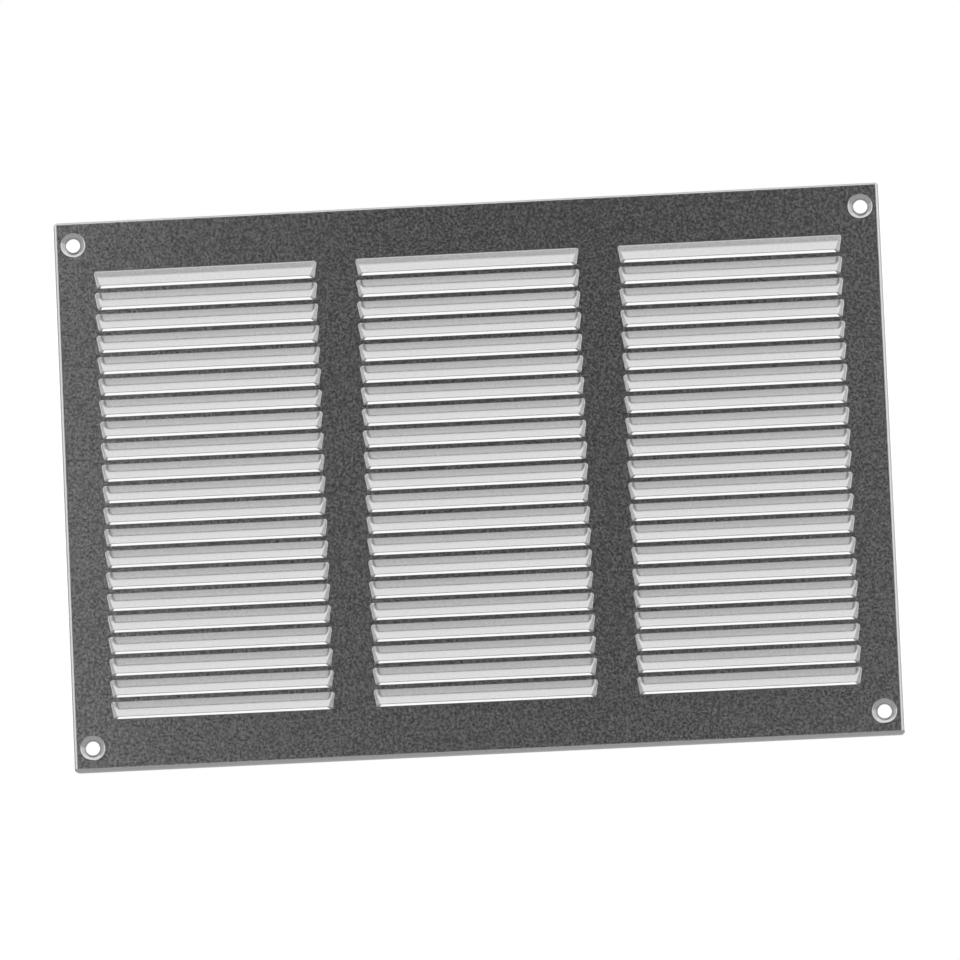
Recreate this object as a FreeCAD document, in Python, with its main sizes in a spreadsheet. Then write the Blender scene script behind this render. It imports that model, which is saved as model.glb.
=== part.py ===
"""Pressed steel ventilation grille: one folded sheet with rows of louvres.

The panel stands upright. X runs along its width, Z points up and the louvres look towards -Y.
The origin is the centre of the wall plane, which the rims of the four return flanges touch.
All sizes are in millimetres.
"""

import FreeCAD
import Part
import Sketcher
import os
from FreeCAD import Placement, Rotation, Vector

SIZES = (
    ("panel_width", 300.0, "outside width over the side flanges"),
    ("panel_height", 200.0, "outside height over the top and bottom flanges"),
    ("flange_depth", 8.0, "front face to the flange rims"),
    ("sheet", 1.0, "sheet thickness"),
    ("bend_radius", 1.2, "outside radius where a flange turns back"),
    ("corner_ease", 0.2, "rounding of the four corners, beyond the bend radius"),
    ("mitre_gap", 0.4, "slit between two flanges where they meet"),
    ("louvre_columns", 3, "louvres side by side"),
    ("louvre_rows", 21, "louvres one above the other"),
    ("side_margin", 14.6, "panel edge to the nearest louvre"),
    ("end_margin", 18.54, "panel edge to the first root, and to the last lip"),
    ("column_gap", 14.5, "plain strip between two columns"),
    ("lip_gap", 1.3, "plain strip between a lip and the next root"),
    ("cheek_taper", 1.1, "how much a louvre's side comes in from root to lip"),
    ("root_round", 1.2, "rounding of the two upper corners of a louvre"),
    ("steep_angle", 42.1, "slope of a louvre next to its root, in degrees"),
    ("slat_angle", 31.6, "slope of a louvre next to its lip, in degrees"),
    ("shoulder_drop", 2.1, "root down to the shoulder between the two slopes"),
    ("shoulder_blend", 1.0, "height of the blend at the shoulder"),
    ("cheek_angle", 13.5, "lean of a louvre's end walls, in degrees"),
    ("hole_inset_x", 7.0, "side of the panel to a fixing hole's centre"),
    ("hole_inset_z", 8.5, "top or bottom of the panel to a fixing hole's centre"),
    ("hole_diameter", 5.0, "fixing hole"),
    ("dimple_flare", 1.8, "edge of the fixing hole to the outside of its dimple"),
    ("dimple_depth", 1.3, "face to the bottom of the dimple"),
    ("dimple_round", 0.8, "rounding of the dimple's rim"),
)
SHEET_NAME = "Sizes"
PANEL = "louvre_panel"
TOUCH = 1e-4

# The louvre field, in expressions that FreeCAD works out from the cells above.
ROW_PITCH = "((Sizes.panel_height - 2 * Sizes.end_margin + Sizes.lip_gap) / Sizes.louvre_rows)"
COLUMN_PITCH = (
    "((Sizes.panel_width - 2 * Sizes.side_margin + Sizes.column_gap) / Sizes.louvre_columns)"
)
ROOT_WIDTH = f"({COLUMN_PITCH} - Sizes.column_gap)"
FIRST_ROOT_Z = "(Sizes.panel_height / 2 - Sizes.end_margin)"
FIRST_COLUMN_X = f"(-Sizes.panel_width / 2 + Sizes.side_margin + {ROOT_WIDTH} / 2)"

# One louvre in section. A drop is measured down from the root, a rise forward from the face.
STEEP = "tan(Sizes.steep_angle)"
SLAT = "tan(Sizes.slat_angle)"
STEEP_WALL = "(Sizes.sheet / cos(Sizes.steep_angle))"
SLAT_WALL = "(Sizes.sheet / cos(Sizes.slat_angle))"
CHEEK = "tan(Sizes.cheek_angle)"
CHEEK_WALL = "(Sizes.sheet / cos(Sizes.cheek_angle))"
LIP_END = f"({ROW_PITCH} - Sizes.lip_gap)"
LIP_DROP = f"({LIP_END} - Sizes.sheet * sin(Sizes.slat_angle))"
SHOULDER = f"min(Sizes.shoulder_drop; 0.4 * {LIP_DROP})"
BLEND = f"min(Sizes.shoulder_blend; 0.25 * {LIP_DROP})"
BLEND_TOP = f"({SHOULDER} - {BLEND} / 2)"
BLEND_END = f"({SHOULDER} + {BLEND} / 2)"
BLEND_TOP_RISE = f"({STEEP} * {BLEND_TOP})"
BLEND_END_RISE = f"({STEEP} * {SHOULDER} + {SLAT} * {BLEND} / 2)"
LIP_RISE = f"({STEEP} * {SHOULDER} + {SLAT} * ({LIP_DROP} - {SHOULDER}))"
LIP_END_RISE = f"({LIP_RISE} - Sizes.sheet * cos(Sizes.slat_angle))"
ROOT_ROUND = f"min(Sizes.root_round; 0.9 * {BLEND_TOP})"
BURIED = "(Sizes.sheet / 2)"
BEHIND = f"({STEEP_WALL} + {SLAT_WALL})"
# A circular corner of radius 1, this far below its top, is set back by EARLY_SET_BACK.
EARLY = 0.3
EARLY_SET_BACK = 1 - (1 - (1 - EARLY) ** 2) ** 0.5

HOLE_X = "(Sizes.panel_width / 2 - Sizes.hole_inset_x)"
HOLE_Z = "(Sizes.panel_height / 2 - Sizes.hole_inset_z)"
HOLE_RADIUS = "(Sizes.hole_diameter / 2)"
DIMPLE_RADIUS = f"({HOLE_RADIUS} + Sizes.dimple_flare)"
DIMPLE_SLOPE = "(Sizes.dimple_depth / Sizes.dimple_flare)"
DIMPLE_WALL = f"(Sizes.sheet * sqrt(1 + {DIMPLE_SLOPE} ^ 2))"
DIMPLE_BACK = f"(Sizes.dimple_depth + {DIMPLE_WALL})"
CORNER_RADIUS = "(Sizes.bend_radius + Sizes.corner_ease)"


def make_sheet(doc):
    """Write the driving dimensions into a spreadsheet, one aliased cell each."""
    sheet = doc.addObject("Spreadsheet::Sheet", SHEET_NAME)
    for row, (alias, value, meaning) in enumerate(SIZES, start=1):
        sheet.set(f"A{row}", meaning)
        sheet.set(f"B{row}", str(value))
        sheet.setAlias(f"B{row}", alias)
    doc.recompute()


def origin_feature(body, role):
    """Return the body's own origin plane or axis with this role."""
    return next(item for item in body.Origin.OriginFeatures if item.Role == role)


def new_sketch(body, name, plane, offsets, turn=0.0):
    """Add a sketch on one of the body's origin planes, shifted by bound offsets."""
    sketch = body.newObject("Sketcher::SketchObject", name)
    sketch.AttachmentSupport = [(origin_feature(body, plane), "")]
    sketch.MapMode = "FlatFace"
    sketch.AttachmentOffset = Placement(Vector(), Rotation(Vector(0, 0, 1), turn))
    for axis, expression in offsets.items():
        sketch.setExpression(f"AttachmentOffset.Base.{axis}", expression)
    return sketch


def close_loop(sketch, points):
    """Draw straight edges from point to point and join them into a loop."""
    for start, end in zip(points, points[1:] + points[:1]):
        sketch.addGeometry(Part.LineSegment(Vector(*start), Vector(*end)), False)
    for edge in range(len(points)):
        following = (edge + 1) % len(points)
        sketch.addConstraint(Sketcher.Constraint("Coincident", edge, 2, following, 1))


def bind(sketch, kind, where, expression):
    """Add a dimension and tie it to an expression."""
    number = sketch.addConstraint(Sketcher.Constraint(kind, *where, 1.0))
    sketch.setExpression(f"Constraints[{number}]", expression)


def centred_rectangle(body, name, width, height, turn=0.0, offsets=None):
    """Draw a rectangle about the sketch's origin, on the wall plane."""
    sketch = new_sketch(body, name, "XZ_Plane", offsets or {}, turn)
    close_loop(sketch, [(-2, -1, 0), (2, -1, 0), (2, 1, 0), (-2, 1, 0)])
    sketch.addConstraint(Sketcher.Constraint("Horizontal", 0))
    sketch.addConstraint(Sketcher.Constraint("Vertical", 1))
    sketch.addConstraint(Sketcher.Constraint("Symmetric", 0, 1, 1, 2, -1, 1))
    sketch.addConstraint(Sketcher.Constraint("Symmetric", 0, 2, 2, 2, -1, 1))
    bind(sketch, "DistanceX", (0, 1, 0, 2), width)
    bind(sketch, "DistanceY", (1, 1, 1, 2), height)
    return sketch


def fillet(body, name, base, wanted, radius):
    """Round every edge of the base feature that passes the test."""
    body.Document.recompute()
    edges = [f"Edge{i}" for i, edge in enumerate(base.Shape.Edges, 1) if wanted(edge)]
    feature = body.newObject("PartDesign::Fillet", name)
    feature.Base = (base, edges)
    feature.setExpression("Radius", radius)
    return feature


def make_tray(body):
    """Make the folded pan: front face, bends and four return flanges."""
    blank = body.newObject("PartDesign::Pad", "Blank")
    blank.Profile = centred_rectangle(
        body, "BlankOutline", "Sizes.panel_width", "Sizes.panel_height"
    )
    blank.setExpression("Length", "Sizes.flange_depth")

    def runs_back(edge):
        return edge.BoundBox.YLength > TOUCH

    corners = fillet(body, "Corners", blank, runs_back, CORNER_RADIUS)

    def on_front(edge):
        box = edge.BoundBox
        return box.YLength < TOUCH and box.YMax < -TOUCH

    fillet(body, "Bends", corners, on_front, "Sizes.bend_radius")
    hollow = body.newObject("PartDesign::Pocket", "Hollow")
    hollow.Profile = centred_rectangle(
        body,
        "HollowOutline",
        "Sizes.panel_width - 2 * Sizes.sheet",
        "Sizes.panel_height - 2 * Sizes.sheet",
    )
    hollow.Reversed = True
    hollow.setExpression("Length", "Sizes.flange_depth - Sizes.sheet")


def revolve(body, kind, name, corners):
    """Turn a profile of (radius, depth behind the face) about the first hole's axis."""
    sketch = new_sketch(body, f"{name}Profile", "XY_Plane", {"x": f"-{HOLE_X}", "z": HOLE_Z})
    close_loop(sketch, [(1 + i % 2, i, 0) for i in range(len(corners))])
    for edge, (radius, depth) in enumerate(corners):
        if radius == "0":
            sketch.addConstraint(Sketcher.Constraint("PointOnObject", edge, 1, -2))
        else:
            bind(sketch, "DistanceX", (-1, 1, edge, 1), radius)
        bind(sketch, "DistanceY", (edge, 1, -1, 1), f"Sizes.flange_depth - ({depth})")
    feature = body.newObject(f"PartDesign::{kind}", name)
    feature.Profile = sketch
    feature.ReferenceAxis = (sketch, ["V_Axis"])
    feature.Angle = 360.0
    return feature


def make_corners(body):
    """Make one dimpled fixing hole and one mitre slit, and mirror them to the other corners."""
    skirt = f"({DIMPLE_RADIUS} + ({DIMPLE_WALL} - {BURIED}) / {DIMPLE_SLOPE})"
    boss = revolve(body, "Revolution", "DimpleBack", (
        (HOLE_RADIUS, BURIED),
        (skirt, BURIED),
        (HOLE_RADIUS, DIMPLE_BACK),
    ))
    funnel = revolve(body, "Groove", "DimpleFront", (
        ("0", "0"),
        (DIMPLE_RADIUS, "0"),
        (HOLE_RADIUS, "Sizes.dimple_depth"),
        (HOLE_RADIUS, f"{DIMPLE_BACK} + Sizes.sheet"),
        ("0", f"{DIMPLE_BACK} + Sizes.sheet"),
    ))
    mitre = body.newObject("PartDesign::Pocket", "Mitre")
    mitre.Profile = centred_rectangle(
        body,
        "MitreOutline",
        "Sizes.mitre_gap",
        f"4 * ({CORNER_RADIUS} + Sizes.sheet)",
        turn=45.0,
        offsets={"x": "-Sizes.panel_width / 2", "y": "Sizes.panel_height / 2"},
    )
    mitre.Reversed = True
    mitre.setExpression("Length", "Sizes.flange_depth - Sizes.sheet - Sizes.mitre_gap")
    mirrors = []
    for name, plane in (("ToRight", "YZ_Plane"), ("ToBottom", "XY_Plane")):
        mirror = body.newObject("PartDesign::Mirrored", name)
        mirror.MirrorPlane = (origin_feature(body, plane), [""])
        mirrors.append(mirror)
    corners = body.newObject("PartDesign::MultiTransform", "FourCorners")
    corners.Originals = [boss, funnel, mitre]
    corners.Transformations = mirrors
    body.Tip = corners
    body.Document.recompute()
    front = corners.Shape.BoundBox.YMin

    def is_dimple_rim(edge):
        return edge.isClosed() and edge.BoundBox.YMax < front + TOUCH

    body.Tip = fillet(body, "DimpleRims", corners, is_dimple_rim, "Sizes.dimple_round")


def louvre_section(body, name, drop, base_rise, top_rise, set_back):
    """Draw one level slice of a louvre: a trapezoid that narrows as it rises."""
    offsets = {"x": FIRST_COLUMN_X, "z": f"{FIRST_ROOT_Z} - ({drop})"}
    sketch = new_sketch(body, name, "XY_Plane", offsets)
    close_loop(sketch, [(-3, -1, 0), (3, -1, 0), (2, -2, 0), (-2, -2, 0)])
    sketch.addConstraint(Sketcher.Constraint("Symmetric", 0, 1, 0, 2, -2))
    sketch.addConstraint(Sketcher.Constraint("Symmetric", 2, 2, 2, 1, -2))
    foot = f"{ROOT_WIDTH} - 2 * (Sizes.cheek_taper * ({drop}) / {LIP_END} + {set_back})"
    for edge, start, end, rise in ((0, 1, 2, base_rise), (2, 2, 1, top_rise)):
        bind(sketch, "DistanceX", (edge, start, edge, end), f"{foot} - 2 * {CHEEK} * ({rise})")
        bind(sketch, "DistanceY", (edge, start, -1, 1), f"Sizes.flange_depth + ({rise})")
    return sketch


def loft(body, kind, name, slices, base_rise):
    """Join level slices (drop, rise, set-back) with flat faces, as material or as a cut."""
    sections = [
        louvre_section(body, f"{name}Slice{i}", drop, base_rise, rise, set_back)
        for i, (drop, rise, set_back) in enumerate(slices)
    ]
    feature = body.newObject(f"PartDesign::{kind}", name)
    feature.Profile = (sections[0], [""])
    feature.Sections = [(section, [""]) for section in sections[1:]]
    feature.Ruled = True
    feature.Refine = False
    return feature


def make_louvres(body):
    """Make one louvre with closed ends, open below its lip, and repeat it over the face."""
    early = f"({EARLY} * {ROOT_ROUND})"
    hood = loft(body, "AdditiveLoft", "Hood", (
        (f"(-{BURIED} / 2 / {STEEP})", f"(-{BURIED} / 2)", ROOT_ROUND),
        (early, f"({STEEP} * {early})", f"{EARLY_SET_BACK} * {ROOT_ROUND}"),
        (ROOT_ROUND, f"({STEEP} * {ROOT_ROUND})", "0"),
        (BLEND_TOP, BLEND_TOP_RISE, "0"),
        (BLEND_END, BLEND_END_RISE, "0"),
        (LIP_DROP, LIP_RISE, "0"),
        (LIP_END, LIP_END_RISE, "0"),
    ), f"(-{BURIED})")
    throat = loft(body, "SubtractiveLoft", "Throat", (
        ("0", f"(-{STEEP_WALL})", f"{CHEEK_WALL} + {ROOT_ROUND} / 2"),
        (BLEND_TOP, f"({BLEND_TOP_RISE} - {STEEP_WALL})", CHEEK_WALL),
        (BLEND_END, f"({BLEND_END_RISE} - {SLAT_WALL})", CHEEK_WALL),
        (LIP_END, LIP_END_RISE, CHEEK_WALL),
    ), f"(-{BEHIND})")
    pattern = body.newObject("PartDesign::LinearPattern", "LouvreArray")
    pattern.Originals = [hood, throat]
    pattern.Refine = False
    pattern.Mode = "Spacing"
    pattern.Direction = (origin_feature(body, "X_Axis"), [""])
    pattern.setExpression("Offset", COLUMN_PITCH)
    pattern.setExpression("Occurrences", "Sizes.louvre_columns")
    pattern.Mode2 = "Spacing"
    pattern.Direction2 = (origin_feature(body, "Z_Axis"), [""])
    pattern.Reversed2 = True
    pattern.setExpression("Offset2", ROW_PITCH)
    pattern.setExpression("Occurrences2", "Sizes.louvre_rows")
    body.Tip = pattern


def check(doc, body):
    """Stop if a feature failed, or if the panel isn't one sound solid."""
    failed = [item.Name for item in doc.Objects if {"Invalid", "Error"} & set(item.State)]
    if failed:
        raise RuntimeError(f"features failed: {failed}")
    if body.Shape.isNull() or not body.Shape.isValid() or len(body.Shape.Solids) != 1:
        raise RuntimeError("the panel isn't one valid solid")


def main():
    """Build the document, check it and write the panel's STEP file."""
    doc = FreeCAD.newDocument("LouvrePanel")
    make_sheet(doc)
    body = doc.addObject("PartDesign::Body", "LouvrePanel")
    body.Label = PANEL
    body.Placement = Placement()
    make_tray(body)
    make_corners(body)
    make_louvres(body)
    doc.recompute()
    check(doc, body)
    os.makedirs("parts", exist_ok=True)
    body.Shape.exportStep(f"parts/{PANEL}.step")
    print(f"{PANEL}: {body.Shape.Volume:.1f} mm3, {len(body.Shape.Faces)} faces")


main()
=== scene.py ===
"""Looks of a pressed steel ventilation grille: a shallow pan with rows of louvres.

Everything is in metres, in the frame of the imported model: X runs along the width, Z points up,
the louvres look towards -Y, and the rims of the flanges lie in the plane y = 0.
"""

import logging
import math
from dataclasses import dataclass
from enum import Enum

import bmesh
import bpy
from mathutils import Matrix, Vector


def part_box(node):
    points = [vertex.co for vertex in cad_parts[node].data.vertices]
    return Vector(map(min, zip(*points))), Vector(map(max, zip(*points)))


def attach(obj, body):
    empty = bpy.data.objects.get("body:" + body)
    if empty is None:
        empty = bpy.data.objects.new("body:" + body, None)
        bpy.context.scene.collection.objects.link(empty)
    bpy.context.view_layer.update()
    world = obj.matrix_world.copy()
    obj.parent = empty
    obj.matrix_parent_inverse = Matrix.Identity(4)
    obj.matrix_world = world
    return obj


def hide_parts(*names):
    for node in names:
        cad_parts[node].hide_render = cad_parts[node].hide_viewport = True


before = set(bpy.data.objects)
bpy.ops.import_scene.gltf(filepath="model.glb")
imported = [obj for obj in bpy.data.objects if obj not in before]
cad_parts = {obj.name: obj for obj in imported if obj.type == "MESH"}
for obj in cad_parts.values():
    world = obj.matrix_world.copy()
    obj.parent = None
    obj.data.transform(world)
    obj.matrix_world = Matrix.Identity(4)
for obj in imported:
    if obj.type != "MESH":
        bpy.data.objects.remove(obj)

LOG = logging.getLogger("grille")
MM = 0.001
NODE = "louvre_panel"
UPRIGHT = math.pi / 2
WHITE = (1.0, 1.0, 1.0, 1.0)

Point = tuple[float, float, float]
Colour = tuple[float, float, float, float]
Span = tuple[float, float]
Section = list[Span]
Verts = list[bmesh.types.BMVert]
Corners = list[Verts]


class Side(Enum):
    """The two faces of the sheet."""

    FRONT = "front"
    BACK = "back"


@dataclass(frozen=True)
class SheetSizes:
    """Sizes of the folded sheet without its louvres."""

    width: float
    height: float
    flange_depth: float = 8.0 * MM
    sheet: float = 0.8 * MM
    bend_radius: float = 1.2 * MM
    corner_radius: float = 1.4 * MM
    mitre_gap: float = 0.4 * MM
    hole_inset_x: float = 7.0 * MM
    hole_inset_z: float = 8.5 * MM
    hole_radius: float = 2.5 * MM
    dimple_flare: float = 1.8 * MM
    dimple_depth: float = 1.3 * MM
    dimple_round: float = 0.8 * MM
    guard: float = 0.25 * MM
    hole_ease: float = 0.12 * MM
    least_radius: float = 0.05 * MM
    least_slit_angle: float = 0.0002

    def level(self, rise: float) -> float:
        """Return the y of a point that stands this far in front of the face."""
        return -self.flange_depth - rise

    def hole_centres(self) -> list[Span]:
        """Place the four fixing holes.

        Returns:
            The x and z of each hole's centre.
        """
        x = self.width / 2 - self.hole_inset_x
        z = self.height / 2 - self.hole_inset_z
        return [(x, z), (-x, z), (-x, -z), (x, -z)]


@dataclass(frozen=True)
class LouvreSizes:
    """Sizes of the louvre field and of one louvre in it.

    A drop is measured down from the root line, and a rise forward from the face.
    """

    panel: SheetSizes
    columns: int = 3
    rows: int = 21
    side_margin: float = 14.6 * MM
    end_margin: float = 18.6 * MM
    column_gap: float = 14.5 * MM
    row_gap: float = 1.7 * MM
    lip_gap: float = 0.55 * MM
    cheek_taper: float = 1.1 * MM
    root_round: float = 1.2 * MM
    steep_angle: float = math.radians(42.1)
    slat_angle: float = math.radians(31.6)
    shoulder_drop: float = 2.5 * MM
    shoulder_blend: float = 1.2 * MM
    cheek_angle: float = math.radians(13.5)
    root_blend: float = 0.2 * MM
    foot_round: float = 0.3 * MM
    crown_round: float = 0.45 * MM
    edge_round: float = 0.04 * MM
    back_crown_ratio: float = 3.0
    least_height: float = 0.12 * MM
    corner_share: float = 0.45
    root_guard: float = 0.15 * MM
    back_root_guard: float = 0.1 * MM
    back_root_step: float = 0.4 * MM
    lip_guard: float = 0.3 * MM

    @property
    def row_pitch(self) -> float:
        """Spacing of the rows."""
        return (self.panel.height - 2 * self.end_margin + self.row_gap) / self.rows

    @property
    def column_pitch(self) -> float:
        """Spacing of the columns."""
        return (self.panel.width - 2 * self.side_margin + self.column_gap) / self.columns

    @property
    def first_root(self) -> float:
        """Height of the topmost root line."""
        return self.panel.height / 2 - self.end_margin

    @property
    def slot_end(self) -> float:
        """Drop of the slot's lower edge."""
        return self.row_pitch - self.row_gap

    @property
    def lip_drop(self) -> float:
        """Drop of the lip."""
        return self.slot_end - self.lip_gap

    def rise(self, drop: float) -> float:
        """Work out how far the outer surface stands out, on the middle of a louvre.

        Args:
            drop: Distance down from the root line.

        Returns:
            The outer surface's rise.
        """
        steep, slat = math.tan(self.steep_angle), math.tan(self.slat_angle)
        soft = self.root_blend
        if drop <= -soft:
            return 0.0
        if drop < soft:
            return steep * (drop + soft) ** 2 / (4 * soft)
        past = drop - (self.shoulder_drop - self.shoulder_blend / 2)
        if past <= 0:
            return steep * drop
        if past < self.shoulder_blend:
            return steep * drop + (slat - steep) * past**2 / (2 * self.shoulder_blend)
        return steep * self.shoulder_drop + slat * (drop - self.shoulder_drop)

    def inner_rise(self, drop: float) -> float:
        """Work out how far the inner surface stands out, on the middle of a louvre.

        Args:
            drop: Distance down from the root line.

        Returns:
            The inner surface's rise, which is negative where it lies behind the face.
        """
        wall = self.panel.sheet
        steep = math.tan(self.steep_angle) * drop - wall / math.cos(self.steep_angle)
        slat = (
            math.tan(self.steep_angle) * self.shoulder_drop
            + math.tan(self.slat_angle) * (drop - self.shoulder_drop)
            - wall / math.cos(self.slat_angle)
        )
        return max(-wall, min(steep, slat))

    def foot(self, drop: float) -> float:
        """Work out half a louvre's width on the face, with its round upper corner.

        Args:
            drop: Distance down from the root line.

        Returns:
            Half the width.
        """
        radius = self.root_round
        below = min(max(drop + self.root_blend, 0.0), radius)
        set_back = radius - math.sqrt(radius**2 - (radius - below) ** 2)
        taper = self.cheek_taper * max(drop, 0.0) / self.slot_end
        return (self.column_pitch - self.column_gap) / 2 - set_back - taper

    def cut_drop(self, share: float) -> float:
        """Return the sheared edge's drop at this share of a louvre's height."""
        return self.slot_end - self.lip_gap * min(max(share, 0.0), 1.0)


def arc_steps(count: int) -> list[float]:
    """Return evenly spaced shares from 0 to 1."""
    return [step / (count - 1) for step in range(count)]


def add_row(mesh: bmesh.types.BMesh, points: list[Point]) -> Verts:
    """Add a row of points to a mesh."""
    return [mesh.verts.new(point) for point in points]


def add_face(mesh: bmesh.types.BMesh, ring: Verts) -> None:
    """Add a face round a ring of points, if more than two of them are distinct.

    Args:
        mesh: The mesh to add to.
        ring: The points, where neighbours may be the same point.
    """
    distinct = [vert for i, vert in enumerate(ring) if vert is not ring[i - 1]]
    if len(distinct) > 2:
        mesh.faces.new(distinct)


def bridge(mesh: bmesh.types.BMesh, upper: Verts, lower: Verts) -> None:
    """Join two rows of equal length with quads."""
    for i in range(len(upper) - 1):
        add_face(mesh, [upper[i], upper[i + 1], lower[i + 1], lower[i]])


def bridge_rings(mesh: bmesh.types.BMesh, first: Verts, second: Verts) -> None:
    """Join two closed rings of equal length with quads.

    Args:
        mesh: The mesh to add to.
        first: One ring.
        second: The other ring.
    """
    for i in range(len(first)):
        after = (i + 1) % len(first)
        mesh.faces.new([first[i], first[after], second[after], second[i]])


def flat(loop: Corners) -> Verts:
    """Return the points of a loop's four corners as one ring."""
    return [vert for corner in loop for vert in corner]


def make_object(mesh: bmesh.types.BMesh, name: str) -> bpy.types.Object:
    """Turn a finished mesh into an object in the scene.

    Args:
        mesh: The mesh, which is freed.
        name: The object's name.

    Returns:
        The new object, at the origin.
    """
    data = bpy.data.meshes.new(name)
    mesh.to_mesh(data)
    mesh.free()
    made = bpy.data.objects.new(name, data)
    bpy.context.scene.collection.objects.link(made)
    return made


@dataclass
class LouvreCell:
    """One louvre with the plain sheet round it: a tile that joins its neighbours.

    A section has plain_ends points on the plain sheet at each of its ends.
    """

    sizes: LouvreSizes
    foot_steps: int = 4
    crown_steps: int = 5
    shoulder_steps: int = 5
    plain_ends: int = 2
    round_share: float = 0.3
    corner_shares: Point = (0.25, 0.6, 1.0)

    def half_section(self, drop: float, side: Side) -> Section:
        """Trace half of a level slice, from the plain sheet in to the louvre's middle.

        Args:
            drop: Where the slice is taken.
            side: Which face of the sheet is traced.

        Returns:
            Pairs of x and rise. The number of pairs doesn't depend on the drop.
        """
        s = self.sizes
        wall = s.panel.sheet
        lean = s.cheek_angle
        if side is Side.FRONT:
            base, top, foot = 0.0, s.rise(drop), s.foot(drop)
            foot_round, crown_round = s.foot_round, s.crown_round
        else:
            base, top = -wall, s.inner_rise(drop)
            foot = s.foot(drop) + wall * (math.tan(lean) - 1 / math.cos(lean))
            foot_round, crown_round = s.foot_round, s.crown_round / s.back_crown_ratio
        shown = max(top - base, s.least_height)
        squash = (top - base) / shown
        turn = math.pi / 2 - lean
        most = s.corner_share * shown / math.cos(lean) / math.tan(turn / 2)
        foot_round, crown_round = min(foot_round, most), min(crown_round, most)
        foot_reach = foot_round * math.tan(turn / 2)
        crown_x = foot - math.tan(lean) * shown - crown_round * math.tan(turn / 2)
        section = [(foot + foot_reach + s.panel.guard, 0.0)]
        for share in arc_steps(self.foot_steps):
            angle = turn * share
            section.append(
                (foot + foot_reach - foot_round * math.sin(angle), foot_round * (1 - math.cos(angle)))
            )
        for share in arc_steps(self.crown_steps):
            angle = turn * (1 - share)
            section.append(
                (crown_x + crown_round * math.sin(angle), shown - crown_round * (1 - math.cos(angle)))
            )
        section.append((crown_x - 2 * s.panel.guard, shown))
        section.append((crown_x / 2, shown))
        section.append((0.0, shown))
        return [(x, base + rise * squash) for x, rise in section]

    def section(self, drop: float, side: Side) -> Section:
        """Trace a whole level slice from left to right."""
        half = self.half_section(drop, side)
        return [(-x, rise) for x, rise in half[:-1]] + half[::-1]

    def front_drops(self) -> list[float]:
        """Choose the front face's rows, down to just above the lip.

        Returns:
            The rows' drops, from the top down.
        """
        s = self.sizes
        soft, start = s.root_blend, s.shoulder_drop - s.shoulder_blend / 2
        root = [-soft - s.root_guard, -soft, -soft / 3, soft / 3, soft]
        corner = [soft + (s.root_round - soft) * share for share in self.corner_shares]
        shoulder = [start + s.shoulder_blend * share for share in arc_steps(self.shoulder_steps)]
        slat = [s.shoulder_drop + s.shoulder_blend, s.lip_drop - s.lip_guard]
        return root + corner + shoulder + slat

    def back_drops(self) -> list[float]:
        """Choose the back face's rows, down to just above the lip.

        Returns:
            The rows' drops, from the top down.
        """
        s = self.sizes
        wall, steep, slat = s.panel.sheet, s.steep_angle, s.slat_angle
        root = wall * (1 / math.cos(steep) - 1) / math.tan(steep)
        shoulder = s.shoulder_drop + wall * (1 / math.cos(steep) - 1 / math.cos(slat)) / (
            math.tan(steep) - math.tan(slat)
        )
        return [
            root - s.back_root_guard,
            root,
            root + s.back_root_step,
            shoulder,
            s.lip_drop - s.lip_guard,
        ]

    def build(self) -> bpy.types.Object:
        """Make the tile.

        Returns:
            A mesh object with the middle of its root line at x = z = 0.
        """
        mesh = bmesh.new()
        cuts: dict[Side, Verts] = {}
        sills: dict[Side, Verts] = {}
        for side in Side:
            cuts[side], sills[side] = self._add_face_side(mesh, side)
        corner = self._cut_edge(Side.FRONT, 0.0)[1:-1]
        rim = self._rounded_rim(mesh, cuts, corner)
        for upper, lower in zip(rim, rim[1:]):
            bridge(mesh, upper, lower)
        bridge(mesh, sills[Side.FRONT], sills[Side.BACK])
        bmesh.ops.recalc_face_normals(mesh, faces=mesh.faces)
        return make_object(mesh, "louvre_cell")

    def _add_face_side(self, mesh: bmesh.types.BMesh, side: Side) -> tuple[Verts, Verts]:
        """Add one face of the sheet, with the louvre and the plain sheet round it.

        Args:
            mesh: The mesh to add to.
            side: Which face of the sheet is added.

        Returns:
            The sheared edge and the slot's lower edge, which share their end points.
        """
        s = self.sizes
        drops = self.front_drops() if side is Side.FRONT else self.back_drops()
        rows = [
            add_row(mesh, [(x, s.panel.level(rise), -drop) for x, rise in self.section(drop, side)])
            for drop in drops
        ]
        rows.append(add_row(mesh, self._cut_edge(side, s.edge_round if side is Side.FRONT else 0.0)))
        for upper, lower in zip(rows, rows[1:]):
            bridge(mesh, upper, lower)
        last = rows[-1]
        y = s.panel.level(0.0 if side is Side.FRONT else -s.panel.sheet)
        across = self.section(s.slot_end, side)[self.plain_ends : -self.plain_ends]
        inner = add_row(mesh, [(x, y, -s.slot_end) for x, _ in across])
        sill = [last[1], *inner, last[-2]]
        half = s.column_pitch / 2
        top, bottom = s.row_gap / 2, s.row_gap / 2 - s.row_pitch
        corners = add_row(
            mesh, [(-half, y, top), (half, y, top), (half, y, bottom), (-half, y, bottom)]
        )
        add_face(mesh, [corners[0], corners[1], *reversed(rows[0])])
        add_face(mesh, [corners[1], corners[2], *[row[-1] for row in reversed(rows)]])
        add_face(mesh, [corners[2], corners[3], last[0], *sill, last[-1]])
        add_face(mesh, [corners[3], corners[0], *[row[0] for row in rows]])
        return last[1:-1], sill

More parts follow.
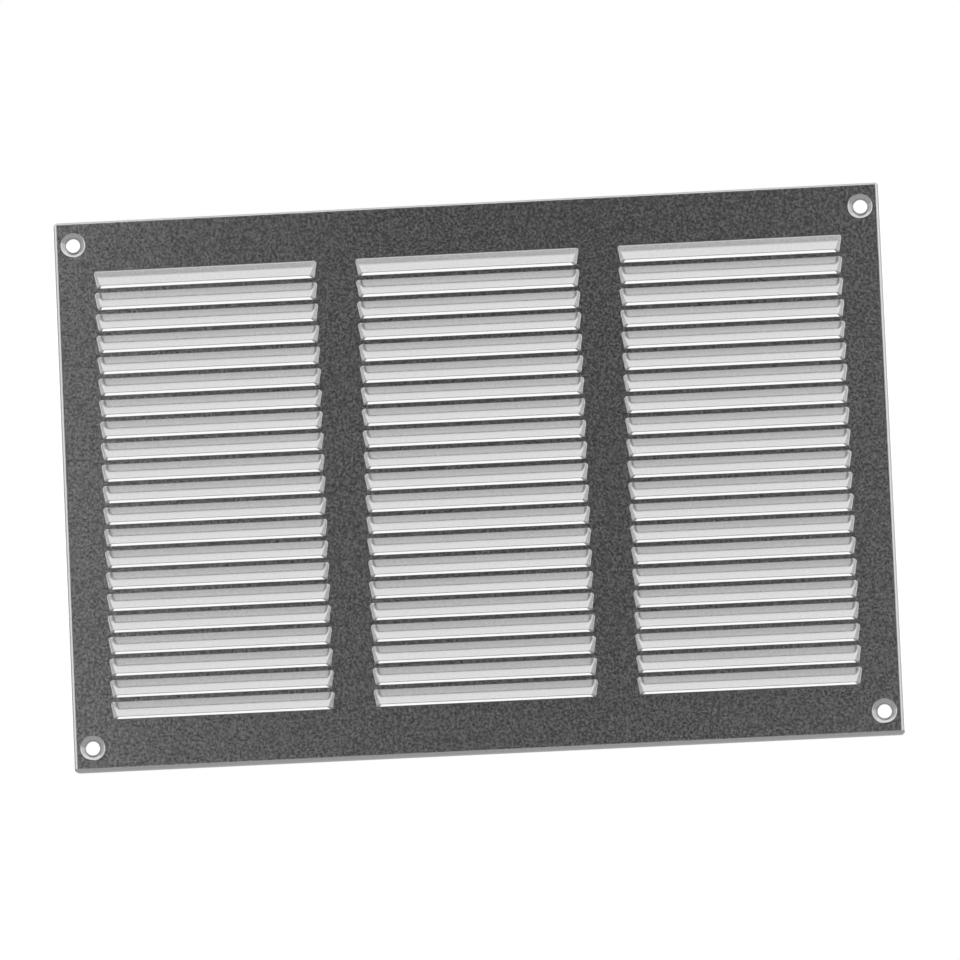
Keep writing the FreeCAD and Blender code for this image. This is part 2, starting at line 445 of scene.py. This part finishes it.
    def _cut_edge(self, side: Side, ease: float) -> list[Point]:
        """Trace the last row of a face: the sheared edge, and the plain sheet at its ends.

        Args:
            side: Which face of the sheet is traced.
            ease: How far the row stays short of the sheared edge.

        Returns:
            The row's points, as many as in a section.
        """
        s = self.sizes
        plain = 0.0 if side is Side.FRONT else -s.panel.sheet
        section = self.section(s.lip_drop - ease, side)
        ends = self.section(s.slot_end, side)
        top = section[len(section) // 2][1]
        row = []
        for i, ((x, rise), (end_x, _)) in enumerate(zip(section, ends)):
            if self.plain_ends <= i < len(section) - self.plain_ends:
                row.append((x, s.panel.level(rise), ease - s.cut_drop(rise / top)))
            else:
                row.append((end_x, s.panel.level(plain), -s.slot_end))
        return row

    def _rounded_rim(
        self,
        mesh: bmesh.types.BMesh,
        cuts: dict[Side, Verts],
        corner: list[Point],
    ) -> list[Verts]:
        """Round the outer corner of the sheared edge, from the front face to the back face.

        Args:
            mesh: The tile so far.
            cuts: The last row of each face, along the sheared edge.
            corner: The sharp corner that is rounded.

        Returns:
            Rows of points across the sheared face, from front to back.
        """
        share = self.sizes.edge_round / self.sizes.panel.sheet
        front, back = cuts[Side.FRONT], cuts[Side.BACK]
        middle, inner = [front[0]], [front[0]]
        for outer, hidden, point in list(zip(front, back, corner))[1:-1]:
            tip = Vector(point)
            across = (hidden.co - tip) * share
            middle.append(mesh.verts.new(tip + self.round_share * (across + outer.co - tip)))
            inner.append(mesh.verts.new(tip + across))
        middle.append(front[-1])
        inner.append(front[-1])
        return [front, middle, inner, back]


@dataclass
class Pan:
    """The folded sheet round the louvre field: face, bends, return flanges and dimpled holes."""

    sizes: SheetSizes
    louvres: LouvreSizes
    bend_steps: int = 7
    corner_steps: int = 4
    hole_steps: int = 40
    dimple_steps: int = 5

    def corner_loop(self, mesh: bmesh.types.BMesh, inset: float, y: float) -> Corners:
        """Add a rounded rectangle, split at the middle of each corner.

        Args:
            mesh: The mesh to add to.
            inset: How far the loop lies inside the panel's outline.
            y: The loop's place in depth.

        Returns:
            For each corner, its points in order round the panel.
        """
        s = self.sizes
        free = s.corner_radius - inset
        radius = max(free, s.least_radius)
        slit = min(s.mitre_gap / 2 / free if free > 0 else s.least_slit_angle, math.pi / 8)
        first = [(math.pi / 4 - slit) * share for share in arc_steps(self.corner_steps)]
        angles = first + [math.pi / 2 - angle for angle in reversed(first)]
        loop = []
        for quarter, (sx, sz) in enumerate(((1, 1), (-1, 1), (-1, -1), (1, -1))):
            cx = sx * (s.width / 2 - inset - radius)
            cz = sz * (s.height / 2 - inset - radius)
            start = quarter * math.pi / 2
            turns = [start + angle for angle in angles]
            points = [(cx + radius * math.cos(a), y, cz + radius * math.sin(a)) for a in turns]
            loop.append(add_row(mesh, points))
        return loop

    def build(self) -> bpy.types.Object:
        """Make the pan.

        Returns:
            A mesh object that is open where the louvre field goes.
        """
        mesh = bmesh.new()
        s = self.sizes
        slit_level = s.mitre_gap + s.sheet - s.flange_depth
        rim = self.corner_loop(mesh, 0.0, 0.0)
        slit = self.corner_loop(mesh, 0.0, slit_level)
        face_edge = self._add_bends(mesh, slit)
        back_edge = self._add_flanges(mesh, rim, slit, slit_level)
        front_holes, back_holes = self._add_dimples(mesh)
        self._fill(mesh, [flat(face_edge), self._field_edge(mesh, 0.0), *front_holes])
        self._fill(mesh, [flat(back_edge), self._field_edge(mesh, -s.sheet), *back_holes])
        return make_object(mesh, "grille_pan")

    def _add_bends(self, mesh: bmesh.types.BMesh, slit: Corners) -> Corners:
        """Add the outside of the flanges above the mitre slits, and the bends.

        Args:
            mesh: The mesh to add to.
            slit: The loop at the end of the mitre slits.

        Returns:
            The loop where the flat of the front face starts.
        """
        s = self.sizes
        bend_level = -(s.flange_depth - s.bend_radius)
        loops = [slit, self.corner_loop(mesh, 0.0, bend_level)]
        for share in arc_steps(self.bend_steps)[1:]:
            angle = math.pi / 2 * share
            inset = s.bend_radius * (1 - math.cos(angle))
            loops.append(self.corner_loop(mesh, inset, bend_level - s.bend_radius * math.sin(angle)))
        loops.append(self.corner_loop(mesh, s.bend_radius + s.guard, s.level(0.0)))
        for lower, upper in zip(loops, loops[1:]):
            bridge_rings(mesh, flat(lower), flat(upper))
        return loops[-1]

    def _add_inside(self, mesh: bmesh.types.BMesh, y: float, tipped: bool) -> Corners:
        """Add a loop round the inside of the flanges.

        Args:
            mesh: The mesh to add to.
            y: The loop's place in depth.
            tipped: Whether the inside corners themselves have a point.

        Returns:
            For each corner, its points in order round the panel.
        """
        s = self.sizes
        half_x, half_z = s.width / 2 - s.sheet, s.height / 2 - s.sheet
        reach = s.mitre_gap / math.sqrt(2)
        loop = []
        for sx, sz in ((1, 1), (-1, 1), (-1, -1), (1, -1)):
            points = [(sx * half_x, y, sz * (half_z - reach))]
            if tipped:
                points.append((sx * half_x, y, sz * half_z))
            points.append((sx * (half_x - reach), y, sz * half_z))
            loop.append(add_row(mesh, points if sx * sz > 0 else points[::-1]))
        return loop

    def _add_flanges(
        self, mesh: bmesh.types.BMesh, rim: Corners, slit: Corners, slit_level: float
    ) -> Corners:
        """Add the four flanges below the ends of the mitre slits, and their inside above them.

        Args:
            mesh: The mesh to add to.
            rim: The outer loop in the rims' plane.
            slit: The outer loop at the end of the mitre slits.
            slit_level: The y at which the mitre slits end.

        Returns:
            The loop round the back of the face.
        """
        s = self.sizes
        inner_rim = self._add_inside(mesh, 0.0, tipped=False)
        inner_slit = self._add_inside(mesh, slit_level, tipped=True)
        back_edge = self._add_inside(mesh, s.level(-s.sheet), tipped=True)
        half = self.corner_steps
        for k in range(4):
            after = (k + 1) % 4
            rim_out, slit_out = rim[k][half:] + rim[after][:half], slit[k][half:] + slit[after][:half]
            rim_in = [inner_rim[k][-1], inner_rim[after][0]]
            slit_in = [inner_slit[k][-1], inner_slit[after][0]]
            bridge(mesh, rim_out, slit_out)
            mesh.faces.new(rim_out + rim_in[::-1])
            mesh.faces.new([rim_in[0], rim_in[1], slit_in[1], slit_in[0]])
            mesh.faces.new([rim_out[0], rim_in[0], slit_in[0], slit_out[0]])
            mesh.faces.new([rim_out[-1], rim_in[-1], slit_in[-1], slit_out[-1]])
            mesh.faces.new([slit[k][half - 1], slit[k][half], *inner_slit[k][::-1]])
        bridge_rings(mesh, flat(inner_slit), flat(back_edge))
        return back_edge

    def _add_dimples(self, mesh: bmesh.types.BMesh) -> tuple[list[Verts], list[Verts]]:
        """Add the four dimpled fixing holes.

        Args:
            mesh: The mesh to add to.

        Returns:
            The outer rings of the dimples on the front face and on the back face.
        """
        s = self.sizes
        angles = [2 * math.pi * step / self.hole_steps for step in range(self.hole_steps)]
        front, back = [], []
        for cx, cz in s.hole_centres():
            rings = []
            for radius, rise in self.dimple_profile():
                y = s.level(rise)
                ring = [(cx + radius * math.cos(a), y, cz + radius * math.sin(a)) for a in angles]
                rings.append(add_row(mesh, ring))
            for ring, following in zip(rings, rings[1:]):
                bridge_rings(mesh, ring, following)
            front.append(rings[0])
            back.append(rings[-1])
        return front, back

    def dimple_profile(self) -> Section:
        """Trace a dimple in section, from the front round to the back.

        Returns:
            Pairs of radius and rise.
        """
        s = self.sizes
        slope = math.atan2(s.dimple_depth, s.dimple_flare)
        outside = s.hole_radius + s.dimple_flare
        reach = s.dimple_round * math.tan(slope / 2)
        wall = s.sheet / math.cos(slope)
        profile = [(outside + reach + s.guard, 0.0)]
        for share in arc_steps(self.dimple_steps):
            angle = slope * share
            profile.append(
                (
                    outside + reach - s.dimple_round * math.sin(angle),
                    -s.dimple_round * (1 - math.cos(angle)),
                )
            )
        edge = s.hole_ease
        profile.append((s.hole_radius + edge, -s.dimple_depth + edge * math.tan(slope)))
        profile.append((s.hole_radius, -s.dimple_depth - edge))
        profile.append((s.hole_radius, -s.dimple_depth - wall))
        skirt = outside + (wall - s.sheet) / math.tan(slope)
        profile.append((skirt, -s.sheet))
        profile.append((skirt + s.guard, -s.sheet))
        return profile

    def _field_edge(self, mesh: bmesh.types.BMesh, rise: float) -> Verts:
        """Add the edge of the louvre field, with a point at the end of each row and column.

        Args:
            mesh: The mesh to add to.
            rise: The edge's rise.

        Returns:
            The edge's points in order round the field.
        """
        field, y = self.louvres, self.sizes.level(rise)
        half = field.columns * field.column_pitch / 2
        top = field.first_root + field.row_gap / 2
        xs = [-half + field.column_pitch * i for i in range(field.columns + 1)]
        zs = [top - field.row_pitch * i for i in range(field.rows + 1)]
        ring = [(x, zs[0]) for x in xs[:-1]] + [(xs[-1], z) for z in zs[:-1]]
        ring += [(x, zs[-1]) for x in xs[:0:-1]] + [(xs[0], z) for z in zs[:0:-1]]
        return add_row(mesh, [(x, y, z) for x, z in ring])

    @staticmethod
    def _fill(mesh: bmesh.types.BMesh, rings: list[Verts]) -> None:
        """Fill the flat region between the first ring and the other rings.

        Args:
            mesh: The mesh to add to.
            rings: The region's outer ring, and then the rings of its openings.
        """
        edges = []
        for ring in rings:
            for i, vert in enumerate(ring):
                pair = (ring[i - 1], vert)
                edges.append(mesh.edges.get(pair) or mesh.edges.new(pair))
        bmesh.ops.triangle_fill(mesh, use_beauty=True, use_dissolve=False, edges=edges)


@dataclass(frozen=True)
class GalvanisedSteel:
    """Dull zinc-coated sheet: a grey metal with a faint mottle and fine grain."""

    name: str = "galvanised_steel"
    light: Colour = (0.775, 0.775, 0.764, 1.0)
    dark: Colour = (0.70, 0.703, 0.71, 1.0)
    roughness: tuple[float, float] = (0.17, 0.25)
    noise_low: float = 0.35
    noise_high: float = 0.65
    grain_share: float = 0.5
    grain_detail: float = 3.0
    patch_detail: float = 4.0
    grain_scale: float = 2100.0
    patch_scale: float = 1100.0
    grain_height: float = 0.0000031

    def build(self) -> bpy.types.Material:
        """Make the material.

        Returns:
            The material with its nodes.
        """
        material = bpy.data.materials.new(self.name)
        material.use_nodes = True
        nodes, links = material.node_tree.nodes, material.node_tree.links
        shader = nodes["Principled BSDF"]
        shader.inputs["Metallic"].default_value = 1.0
        place = nodes.new("ShaderNodeTexCoord")
        grain = nodes.new("ShaderNodeTexNoise")
        grain.inputs["Scale"].default_value = self.grain_scale
        grain.inputs["Detail"].default_value = self.grain_detail
        patch = nodes.new("ShaderNodeTexNoise")
        patch.inputs["Scale"].default_value = self.patch_scale
        patch.inputs["Detail"].default_value = self.patch_detail
        links.new(place.outputs["Object"], grain.inputs["Vector"])
        links.new(place.outputs["Object"], patch.inputs["Vector"])
        blend = nodes.new("ShaderNodeMath")
        blend.operation = "MULTIPLY_ADD"
        blend.inputs[1].default_value = self.grain_share
        rest = nodes.new("ShaderNodeMath")
        rest.operation = "MULTIPLY"
        rest.inputs[1].default_value = 1.0 - self.grain_share
        links.new(patch.outputs["Fac"], rest.inputs[0])
        links.new(grain.outputs["Fac"], blend.inputs[0])
        links.new(rest.outputs[0], blend.inputs[2])
        spread = nodes.new("ShaderNodeMapRange")
        spread.inputs["From Min"].default_value = self.noise_low
        spread.inputs["From Max"].default_value = self.noise_high
        links.new(blend.outputs[0], spread.inputs["Value"])
        colour = nodes.new("ShaderNodeMix")
        colour.data_type = "RGBA"
        colour.inputs["A"].default_value = self.dark
        colour.inputs["B"].default_value = self.light
        links.new(spread.outputs["Result"], colour.inputs["Factor"])
        links.new(colour.outputs["Result"], shader.inputs["Base Color"])
        gloss = nodes.new("ShaderNodeMapRange")
        gloss.inputs["From Min"].default_value = self.noise_low
        gloss.inputs["From Max"].default_value = self.noise_high
        gloss.inputs["To Min"].default_value = self.roughness[0]
        gloss.inputs["To Max"].default_value = self.roughness[1]
        links.new(patch.outputs["Fac"], gloss.inputs["Value"])
        links.new(gloss.outputs["Result"], shader.inputs["Roughness"])
        bump = nodes.new("ShaderNodeBump")
        bump.inputs["Strength"].default_value = 1.0
        bump.inputs["Distance"].default_value = self.grain_height
        links.new(grain.outputs["Fac"], bump.inputs["Height"])
        links.new(bump.outputs["Normal"], shader.inputs["Normal"])
        return material


@dataclass
class LouvreField:
    """Geometry Nodes that repeat the louvre tile over the face and join it to the pan."""

    sizes: LouvreSizes
    merge_distance: float = 0.002 * MM

    def node_group(self) -> bpy.types.NodeTree:
        """Make the tree that sets out a grid of tiles, makes them real and welds them to the pan.

        Returns:
            The tree, with a socket for each size.
        """
        tree = bpy.data.node_groups.new("louvre_field", "GeometryNodeTree")
        sockets = tree.interface
        sockets.new_socket("Geometry", in_out="INPUT", socket_type="NodeSocketGeometry")
        sockets.new_socket("Louvre tile", in_out="INPUT", socket_type="NodeSocketObject")
        sockets.new_socket("Columns", in_out="INPUT", socket_type="NodeSocketInt")
        sockets.new_socket("Rows", in_out="INPUT", socket_type="NodeSocketInt")
        sockets.new_socket("Field width", in_out="INPUT", socket_type="NodeSocketFloat")
        sockets.new_socket("Field height", in_out="INPUT", socket_type="NodeSocketFloat")
        sockets.new_socket("Field centre", in_out="INPUT", socket_type="NodeSocketVector")
        sockets.new_socket("Weld distance", in_out="INPUT", socket_type="NodeSocketFloat")
        sockets.new_socket("Finish", in_out="INPUT", socket_type="NodeSocketMaterial")
        sockets.new_socket("Geometry", in_out="OUTPUT", socket_type="NodeSocketGeometry")
        nodes, links = tree.nodes, tree.links
        given = nodes.new("NodeGroupInput")
        made = nodes.new("NodeGroupOutput")
        grid = nodes.new("GeometryNodeMeshGrid")
        stand = nodes.new("GeometryNodeTransform")
        stand.inputs["Rotation"].default_value = (math.pi / 2, 0.0, 0.0)
        tile = nodes.new("GeometryNodeObjectInfo")
        repeat = nodes.new("GeometryNodeInstanceOnPoints")
        real = nodes.new("GeometryNodeRealizeInstances")
        join = nodes.new("GeometryNodeJoinGeometry")
        weld = nodes.new("GeometryNodeMergeByDistance")
        finish = nodes.new("GeometryNodeSetMaterial")
        links.new(given.outputs["Field width"], grid.inputs["Size X"])
        links.new(given.outputs["Field height"], grid.inputs["Size Y"])
        links.new(given.outputs["Columns"], grid.inputs["Vertices X"])
        links.new(given.outputs["Rows"], grid.inputs["Vertices Y"])
        links.new(grid.outputs["Mesh"], stand.inputs["Geometry"])
        links.new(given.outputs["Field centre"], stand.inputs["Translation"])
        links.new(given.outputs["Louvre tile"], tile.inputs["Object"])
        links.new(stand.outputs["Geometry"], repeat.inputs["Points"])
        links.new(tile.outputs["Geometry"], repeat.inputs["Instance"])
        links.new(repeat.outputs["Instances"], join.inputs["Geometry"])
        links.new(given.outputs["Geometry"], join.inputs["Geometry"])
        links.new(join.outputs["Geometry"], real.inputs["Geometry"])
        links.new(real.outputs["Geometry"], weld.inputs["Geometry"])
        links.new(given.outputs["Weld distance"], weld.inputs["Distance"])
        links.new(weld.outputs["Geometry"], finish.inputs["Geometry"])
        links.new(given.outputs["Finish"], finish.inputs["Material"])
        links.new(finish.outputs["Geometry"], made.inputs["Geometry"])
        return tree

    def weld_to(
        self, pan: bpy.types.Object, tile: bpy.types.Object, finish: bpy.types.Material
    ) -> bpy.types.Mesh:
        """Repeat the tile over the pan's open field.

        Args:
            pan: The pan, open where the field goes.
            tile: One louvre with the plain sheet round it.
            finish: The material of the whole sheet.

        Returns:
            One closed mesh of the whole sheet.
        """
        s = self.sizes
        width, height = (s.columns - 1) * s.column_pitch, (s.rows - 1) * s.row_pitch
        tree = self.node_group()
        modifier = pan.modifiers.new("louvre_field", "NODES")
        values = {
            "Louvre tile": tile,
            "Columns": s.columns,
            "Rows": s.rows,
            "Field width": width,
            "Field height": height,
            "Field centre": (0.0, 0.0, s.first_root - height / 2),
            "Weld distance": self.merge_distance,
            "Finish": finish,
        }
        modifier.node_group = tree
        for item in tree.interface.items_tree:
            if item.in_out == "INPUT" and item.name in values:
                modifier[item.identifier] = values[item.name]
        depsgraph = bpy.context.evaluated_depsgraph_get()
        return bpy.data.meshes.new_from_object(pan.evaluated_get(depsgraph), depsgraph=depsgraph)


@dataclass
class GrilleSheet:
    """The whole folded and pressed sheet, as one closed piece."""

    sizes: SheetSizes
    louvres: LouvreSizes
    finish: GalvanisedSteel
    crease_angle: float = math.radians(38)

    def build(self) -> bpy.types.Object:
        """Make the sheet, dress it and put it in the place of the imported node.

        Returns:
            The sheet's object.
        """
        pan = Pan(self.sizes, self.louvres).build()
        tile = LouvreCell(self.louvres).build()
        material = self.finish.build()
        mesh = LouvreField(self.louvres).weld_to(pan, tile, material)
        for scratch in (pan, tile):
            bpy.data.objects.remove(scratch)
        self._face_outwards(mesh)
        mesh.name = "grille_sheet"
        mesh.materials.clear()
        mesh.materials.append(material)
        mesh.shade_smooth()
        mesh.set_sharp_from_angle(angle=self.crease_angle)
        piece = bpy.data.objects.new("grille_sheet", mesh)
        bpy.context.scene.collection.objects.link(piece)
        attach(piece, "root")
        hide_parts(NODE)
        return piece

    @staticmethod
    def _face_outwards(mesh: bpy.types.Mesh) -> None:
        """Turn every face outwards and report whether the mesh is closed.

        Args:
            mesh: The sheet's mesh, which is changed in place.
        """
        work = bmesh.new()
        work.from_mesh(mesh)
        bmesh.ops.recalc_face_normals(work, faces=work.faces)
        open_edges = sum(1 for edge in work.edges if len(edge.link_faces) != 2)
        triangles = sum(len(face.verts) - 2 for face in work.faces)
        LOG.info("sheet: %d triangles, %d open edges", triangles, open_edges)
        work.to_mesh(mesh)
        work.free()


@dataclass(frozen=True)
class Card:
    """A grey rectangle that shows only in the metal."""

    name: str
    place: Point
    half: Span
    turn: Point
    grey: float


@dataclass(frozen=True)
class Lamp:
    """A soft rectangular lamp that faces the grille."""

    name: str
    place: Point
    size: Span = (0.9, 2.0)
    power: float = 14.0


@dataclass
class Studio:
    """A pale floor, a white surround, soft lamps and the cards that a polished sheet needs.

    Seen from the camera, the flat face mirrors the front card, and the steep part of each louvre
    mirrors the top card. The other cards tone what the rest of the sheet mirrors.
    """

    floor_level: float = -0.30
    card_lift: float = 0.01
    floor_colour: Colour = (0.80, 0.80, 0.80, 1.0)
    floor_roughness: float = 0.9
    floor_half: float = 6.0
    ambient: float = 0.95
    cards: tuple[Card, ...] = (
        Card("front_card", (-0.09, -3.4, 1.9), (0.71, 2.2), (UPRIGHT, 0, 0), 0.026),
        Card("top_card", (0.0, 0.22, 2.4), (2.2, 0.52), (0, 0, 0), 0.50),
        Card("back_card", (0.0, 2.6, 0.22), (0.7, 0.52), (UPRIGHT, 0, 0), 0.76),
        Card("low_card", (0.0, 0.0, floor_level + card_lift), (3.0, 3.0), (0, 0, 0), 0.41),
        Card("left_card", (-2.4, -0.2, 1.0), (1.3, 1.3), (UPRIGHT, 0, UPRIGHT), 0.52),
        Card("right_card", (2.4, -0.2, 1.0), (1.3, 1.3), (UPRIGHT, 0, UPRIGHT), 0.69),
    )
    lamps: tuple[Lamp, ...] = (
        Lamp("side_lamp_right", (1.25, 2.3, 0.3)),
        Lamp("side_lamp_left", (-1.25, 2.3, 0.3)),
    )

    def build(self) -> None:
        """Set the world, the floor, the cards and the lamps."""
        self._set_world()
        self._lay_floor()
        for card in self.cards:
            self._hang_card(card)
        for lamp in self.lamps:
            self._hang_lamp(lamp)

    def _set_world(self) -> None:
        """Show white to the eye and in reflections, and a softer light to matt surfaces."""
        world = bpy.data.worlds.new("studio")
        bpy.context.scene.world = world
        world.use_nodes = True
        nodes, links = world.node_tree.nodes, world.node_tree.links
        nodes.clear()
        path = nodes.new("ShaderNodeLightPath")
        seen = nodes.new("ShaderNodeMath")
        seen.operation = "MAXIMUM"
        clear = nodes.new("ShaderNodeMath")
        clear.operation = "MAXIMUM"
        links.new(path.outputs["Is Camera Ray"], seen.inputs[0])
        links.new(path.outputs["Is Glossy Ray"], seen.inputs[1])
        links.new(seen.outputs[0], clear.inputs[0])
        links.new(path.outputs["Is Transmission Ray"], clear.inputs[1])
        soft = nodes.new("ShaderNodeBackground")
        soft.inputs["Color"].default_value = WHITE
        soft.inputs["Strength"].default_value = self.ambient
        white = nodes.new("ShaderNodeBackground")
        white.inputs["Color"].default_value = WHITE
        white.inputs["Strength"].default_value = 1.0
        mix = nodes.new("ShaderNodeMixShader")
        out = nodes.new("ShaderNodeOutputWorld")
        links.new(clear.outputs[0], mix.inputs["Fac"])
        links.new(soft.outputs[0], mix.inputs[1])
        links.new(white.outputs[0], mix.inputs[2])
        links.new(mix.outputs[0], out.inputs["Surface"])

    def _lay_floor(self) -> None:
        """Lay a plain pale floor under the grille."""
        half = (self.floor_half, self.floor_half)
        floor = self._plane("floor", (0.0, 0.0, self.floor_level), half, (0, 0, 0))
        material = bpy.data.materials.new("pale_floor")
        material.use_nodes = True
        shader = material.node_tree.nodes["Principled BSDF"]
        shader.inputs["Base Color"].default_value = self.floor_colour
        shader.inputs["Roughness"].default_value = self.floor_roughness
        floor.data.materials.append(material)

    def _plane(self, name: str, place: Point, half: Span, turn: Point) -> bpy.types.Object:
        """Add a flat rectangle that isn't part of the grille.

        Args:
            name: The rectangle's name.
            place: Its centre.
            half: Half its sides.
            turn: Its rotation about X, Y and Z.

        Returns:
            The rectangle's object, marked as stage.
        """
        x, y = half
        corners = [(-x, -y, 0), (x, -y, 0), (x, y, 0), (-x, y, 0)]
        mesh = bpy.data.meshes.new(name)
        mesh.from_pydata(corners, [], [(0, 1, 2, 3)])
        plane = bpy.data.objects.new(name, mesh)
        plane.location = place
        plane.rotation_euler = turn
        bpy.context.scene.collection.objects.link(plane)
        return plane

    def _hang_card(self, card: Card) -> None:
        """Hang a card that the camera, matt surfaces and shadows don't see.

        Args:
            card: The card to hang.
        """
        plane = self._plane(card.name, card.place, card.half, card.turn)
        material = bpy.data.materials.new(card.name)
        material.use_nodes = True
        nodes, links = material.node_tree.nodes, material.node_tree.links
        nodes.clear()
        glow = nodes.new("ShaderNodeEmission")
        glow.inputs["Color"].default_value = (card.grey, card.grey, card.grey, 1.0)
        out = nodes.new("ShaderNodeOutputMaterial")
        links.new(glow.outputs[0], out.inputs["Surface"])
        plane.data.materials.append(material)
        plane.visible_camera = False
        plane.visible_diffuse = False
        plane.visible_shadow = False

    def _hang_lamp(self, lamp: Lamp) -> None:
        """Hang a lamp and turn it to the grille.

        Args:
            lamp: The lamp to hang.
        """
        data = bpy.data.lights.new(lamp.name, "AREA")
        data.shape = "RECTANGLE"
        data.size, data.size_y = lamp.size
        data.energy = lamp.power
        hung = bpy.data.objects.new(lamp.name, data)
        hung.location = lamp.place
        hung.rotation_euler = (-Vector(lamp.place)).to_track_quat("-Z", "Y").to_euler()
        hung.visible_camera = False
        bpy.context.scene.collection.objects.link(hung)


@dataclass
class Viewpoint:
    """The camera, a long lens from slightly right of the middle and slightly below."""

    azimuth: float = math.radians(2.707)
    elevation: float = math.radians(-5.373)
    roll: float = math.radians(-2.523)
    distance: float = 3.0
    lens: float = 310.54875
    sensor_width: float = 36.0
    clip: Span = (0.05, 50.0)
    target: Point = (0.0008, 0.0, -0.0004)

    def build(self) -> None:
        """Make the scene's camera."""
        data = bpy.data.cameras.new("camera")
        data.sensor_width = self.sensor_width
        data.lens = self.lens
        data.clip_start, data.clip_end = self.clip
        camera = bpy.data.objects.new("camera", data)
        level = math.cos(self.elevation)
        back = Vector(
            (
                math.sin(self.azimuth) * level,
                -math.cos(self.azimuth) * level,
                math.sin(self.elevation),
            )
        )
        aim = (-back).to_track_quat("-Z", "Y").to_matrix().to_4x4()
        place = Matrix.Translation(Vector(self.target) + back * self.distance)
        camera.matrix_world = place @ aim @ Matrix.Rotation(self.roll, 4, "Z")
        bpy.context.scene.collection.objects.link(camera)
        bpy.context.scene.camera = camera


def main() -> None:
    """Build the grille and the studio round it."""
    logging.basicConfig(level=logging.INFO, format="%(name)s: %(message)s")
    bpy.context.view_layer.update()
    low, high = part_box(NODE)
    panel = SheetSizes(width=high.x - low.x, height=high.z - low.z)
    sheet = GrilleSheet(panel, LouvreSizes(panel), GalvanisedSteel()).build()
    LOG.info("%s replaces %s", sheet.name, NODE)
    Studio().build()
    Viewpoint().build()
    bpy.context.scene.view_settings.view_transform = "Standard"


if __name__ == "__main__":
    main()
